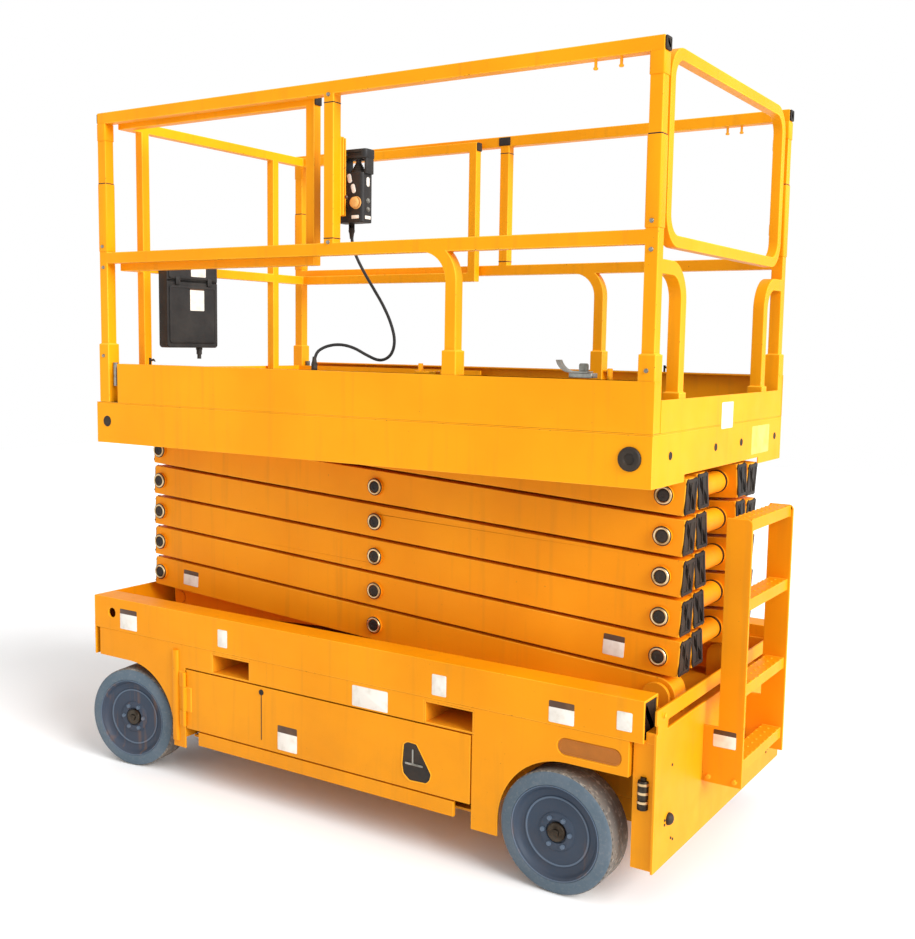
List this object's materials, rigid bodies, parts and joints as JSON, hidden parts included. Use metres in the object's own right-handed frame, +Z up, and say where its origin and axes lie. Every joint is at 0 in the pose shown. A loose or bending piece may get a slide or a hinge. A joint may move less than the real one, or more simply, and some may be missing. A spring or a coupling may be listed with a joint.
{
  "type": "scissor lift",
  "caption": "Electric scissor lift parked with its stack folded: guard-railed deck with sliding extension, crossed box arms, low chassis with side doors, access ladder and solid tyres.",
  "frame": {"origin": "on the floor, under the middle of the bounding box", "axes": "+X to the ladder end, -X to the steered end, +Y to the far side, +Z up"},
  "size_m": [2.5086, 1.2424, 2.47],
  "materials": {
    "yellow_paint": "glossy enamel, lightly worn",
    "arm_paint": "glossy enamel",
    "pin_steel": "dark oiled steel",
    "dark_steel": "satin black",
    "grey_steel": "worn, satin",
    "tyre_rubber": "non-marking, scuffed",
    "rim_paint": "blue-grey, satin",
    "black_plastic": "moulded",
    "cable_rubber": "matt sheath",
    "rod_chrome": "polished rod"
  },
  "bodies": {
    "chassis": {"chassis_rails": "yellow_paint", "chassis_pan": "yellow_paint", "fork_pockets": "yellow_paint", "side_skirt_near": "yellow_paint", "side_skirt_far": "yellow_paint", "end_plates": "yellow_paint", "ladder": "yellow_paint", "scissor_base": "yellow_paint", "power_units": "dark_steel", "rear_axle": "dark_steel", "front_axle": "dark_steel"},
    "knuckle_near": {"knuckle_near": "dark_steel"},
    "wheel_front_near": {"tyre_front_near": "tyre_rubber", "rim_front_near": "rim_paint"},
    "wheel_rear_near": {"tyre_rear_near": "tyre_rubber", "rim_rear_near": "rim_paint"},
    "door_near": {"door_near": "yellow_paint"},
    "guard_near": {"guard_near": "yellow_paint"},
    "knuckle_far": {"knuckle_far": "dark_steel"},
    "wheel_front_far": {"tyre_front_far": "tyre_rubber", "rim_front_far": "rim_paint"},
    "wheel_rear_far": {"tyre_rear_far": "tyre_rubber", "rim_rear_far": "rim_paint"},
    "door_far": {"door_far": "yellow_paint"},
    "guard_far": {"guard_far": "yellow_paint"},
    "tie_rod": {"tie_rod": "dark_steel"},
    "outer_1": {"outer_arms_1": "arm_paint"},
    "inner_1": {"inner_arms_1": "arm_paint", "pivots_1": "pin_steel"},
    "outer_2": {"outer_arms_2": "arm_paint"},
    "inner_2": {"inner_arms_2": "arm_paint", "pivots_2": "pin_steel"},
    "outer_3": {"outer_arms_3": "arm_paint"},
    "inner_3": {"inner_arms_3": "arm_paint", "pivots_3": "pin_steel"},
    "outer_4": {"outer_arms_4": "arm_paint"},
    "inner_4": {"inner_arms_4": "arm_paint", "pivots_4": "pin_steel"},
    "outer_5": {"outer_arms_5": "arm_paint"},
    "inner_5": {"inner_arms_5": "arm_paint", "pivots_5": "pin_steel"},
    "outer_6": {"outer_arms_6": "arm_paint"},
    "inner_6": {"inner_arms_6": "arm_paint", "pivots_6": "pin_steel"},
    "barrel_lower": {"barrel_lower": "arm_paint"},
    "rod_lower": {"rod_lower": "rod_chrome"},
    "barrel_upper": {"barrel_upper": "arm_paint"},
    "rod_upper": {"rod_upper": "rod_chrome"},
    "platform": {"deck_frame": "yellow_paint", "deck_floor": "grey_steel", "toe_boards": "yellow_paint", "guard_rail_near": "yellow_paint", "guard_rail_far": "yellow_paint", "control_box": "black_plastic", "control_cable": "cable_rubber", "cable_glands": "black_plastic"},
    "gate": {"gate": "yellow_paint"},
    "extension": {"extension_floor": "yellow_paint", "extension_rails": "yellow_paint", "document_case": "black_plastic"}
  },
  "joints": [
    {"name": "lift", "type": "hinge", "parent": "chassis", "child": "outer_1", "pos_m": [1.019, 0, 0.583], "axis": [0, 1, 0], "range_deg": [0, 56.5]},
    {"name": "cross_1", "type": "hinge", "parent": "outer_1", "child": "inner_1", "pos_m": [-0.0555, 0, 0.64475], "axis": [0, 1, 0], "range_deg": [-113.5, 0.5]},
    {"name": "fold_2", "type": "hinge", "parent": "inner_1", "child": "outer_2", "pos_m": [1.019, 0, 0.7065], "axis": [0, 1, 0], "range_deg": [-0.5, 113.5]},
    {"name": "cross_2", "type": "hinge", "parent": "outer_2", "child": "inner_2", "pos_m": [-0.0555, 0, 0.76825], "axis": [0, 1, 0], "range_deg": [-113.5, 0.5]},
    {"name": "fold_3", "type": "hinge", "parent": "inner_2", "child": "outer_3", "pos_m": [1.019, 0, 0.83], "axis": [0, 1, 0], "range_deg": [-0.5, 113.5]},
    {"name": "cross_3", "type": "hinge", "parent": "outer_3", "child": "inner_3", "pos_m": [-0.0555, 0, 0.89175], "axis": [0, 1, 0], "range_deg": [-113.5, 0.5]},
    {"name": "fold_4", "type": "hinge", "parent": "inner_3", "child": "outer_4", "pos_m": [1.019, 0, 0.9535], "axis": [0, 1, 0], "range_deg": [-0.5, 113.5]},
    {"name": "cross_4", "type": "hinge", "parent": "outer_4", "child": "inner_4", "pos_m": [-0.0555, 0, 1.01525], "axis": [0, 1, 0], "range_deg": [-113.5, 0.5]},
    {"name": "fold_5", "type": "hinge", "parent": "inner_4", "child": "outer_5", "pos_m": [1.019, 0, 1.077], "axis": [0, 1, 0], "range_deg": [-0.5, 113.5]},
    {"name": "cross_5", "type": "hinge", "parent": "outer_5", "child": "inner_5", "pos_m": [-0.0555, 0, 1.13875], "axis": [0, 1, 0], "range_deg": [-113.5, 0.5]},
    {"name": "fold_6", "type": "hinge", "parent": "inner_5", "child": "outer_6", "pos_m": [1.019, 0, 1.2005], "axis": [0, 1, 0], "range_deg": [-0.5, 113.5]},
    {"name": "cross_6", "type": "hinge", "parent": "outer_6", "child": "inner_6", "pos_m": [-0.0555, 0, 1.26225], "axis": [0, 1, 0], "range_deg": [-113.5, 0.5]},
    {"name": "deck_level", "type": "hinge", "parent": "inner_6", "child": "platform", "pos_m": [1.019, 0, 1.324], "axis": [0, 1, 0], "range_deg": [-0.5, 57]},
    {"name": "barrel_lower_swing", "type": "hinge", "parent": "inner_1", "child": "barrel_lower", "pos_m": [0.91155, 0, 0.70032], "axis": [0, 1, 0], "range_deg": [-0.5, 122.75]},
    {"name": "rod_lower_slide", "type": "slide", "parent": "barrel_lower", "child": "rod_lower", "axis": [-0.9967, 0, 0.0807], "range_m": [-0.002, 0.51201]},
    {"name": "barrel_upper_swing", "type": "hinge", "parent": "inner_4", "child": "barrel_upper", "pos_m": [0.91155, 0, 1.07082], "axis": [0, 1, 0], "range_deg": [-0.5, 122.75]},
    {"name": "rod_upper_slide", "type": "slide", "parent": "barrel_upper", "child": "rod_upper", "axis": [-0.9967, 0, 0.0807], "range_m": [-0.002, 0.51201]},
    {"name": "steer", "type": "hinge", "parent": "chassis", "child": "knuckle_near", "pos_m": [-1.043, -0.44, 0.19], "axis": [0, 0, 1], "range_deg": [-49, 31]},
    {"name": "steer_far", "type": "hinge", "parent": "chassis", "child": "knuckle_far", "pos_m": [-1.043, 0.44, 0.19], "axis": [0, 0, 1], "range_deg": [-49.5, 31.5]},
    {"name": "tie_rod_swing", "type": "hinge", "parent": "knuckle_near", "child": "tie_rod", "pos_m": [-0.92448, -0.42123, 0.152], "axis": [0, 0, 1], "range_deg": [-31.5, 49.5]},
    {"name": "spin_front_near", "type": "hinge", "parent": "knuckle_near", "child": "wheel_front_near", "pos_m": [-1.02814, -0.53383, 0.19], "axis": [-0.1564, 0.9877, 0], "continuous": true},
    {"name": "spin_rear_near", "type": "hinge", "parent": "chassis", "child": "wheel_rear_near", "pos_m": [0.817, -0.535, 0.19], "axis": [0, 1, 0], "continuous": true},
    {"name": "door_near_swing", "type": "hinge", "parent": "chassis", "child": "door_near", "pos_m": [-0.731, -0.595, 0.3], "axis": [0, 0, -1], "range_deg": [0, 90]},
    {"name": "guard_near_drop", "type": "slide", "parent": "chassis", "child": "guard_near", "axis": [0, 0, -1], "range_m": [0, 0.1]},
    {"name": "spin_front_far", "type": "hinge", "parent": "knuckle_far", "child": "wheel_front_far", "pos_m": [-1.05786, 0.53383, 0.19], "axis": [-0.1564, 0.9877, 0], "continuous": true},
    {"name": "spin_rear_far", "type": "hinge", "parent": "chassis", "child": "wheel_rear_far", "pos_m": [0.817, 0.535, 0.19], "axis": [0, 1, 0], "continuous": true},
    {"name": "door_far_swing", "type": "hinge", "parent": "chassis", "child": "door_far", "pos_m": [-0.731, 0.595, 0.3], "axis": [0, 0, 1], "range_deg": [0, 90]},
    {"name": "guard_far_drop", "type": "slide", "parent": "chassis", "child": "guard_far", "axis": [0, 0, -1], "range_m": [0, 0.1]},
    {"name": "gate_swing", "type": "hinge", "parent": "platform", "child": "gate", "pos_m": [1.036, 0.527, 2.19], "axis": [0, 0, -1], "range_deg": [0, 90]},
    {"name": "extension_slide", "type": "slide", "parent": "platform", "child": "extension", "axis": [-1, 0, 0], "range_m": [0, 0.92]}
  ],
  "couplings": [
    {"joint": "cross_1", "follows": "lift", "ratio": -2},
    {"joint": "fold_2", "follows": "lift", "ratio": 2},
    {"joint": "cross_2", "follows": "lift", "ratio": -2},
    {"joint": "fold_3", "follows": "lift", "ratio": 2},
    {"joint": "cross_3", "follows": "lift", "ratio": -2},
    {"joint": "fold_4", "follows": "lift", "ratio": 2},
    {"joint": "cross_4", "follows": "lift", "ratio": -2},
    {"joint": "fold_5", "follows": "lift", "ratio": 2},
    {"joint": "cross_5", "follows": "lift", "ratio": -2},
    {"joint": "fold_6", "follows": "lift", "ratio": 2},
    {"joint": "cross_6", "follows": "lift", "ratio": -2},
    {"joint": "deck_level", "follows": "lift", "ratio": 1},
    {"joint": "barrel_lower_swing", "follows": "lift", "ratio": 2.1638},
    {"joint": "rod_lower_slide", "follows": "lift", "m_per_rad": 0.51719},
    {"joint": "barrel_upper_swing", "follows": "lift", "ratio": 2.1638},
    {"joint": "rod_upper_slide", "follows": "lift", "m_per_rad": 0.51719},
    {"joint": "steer_far", "follows": "steer", "ratio": 1},
    {"joint": "tie_rod_swing", "follows": "steer", "ratio": -1}
  ]
}
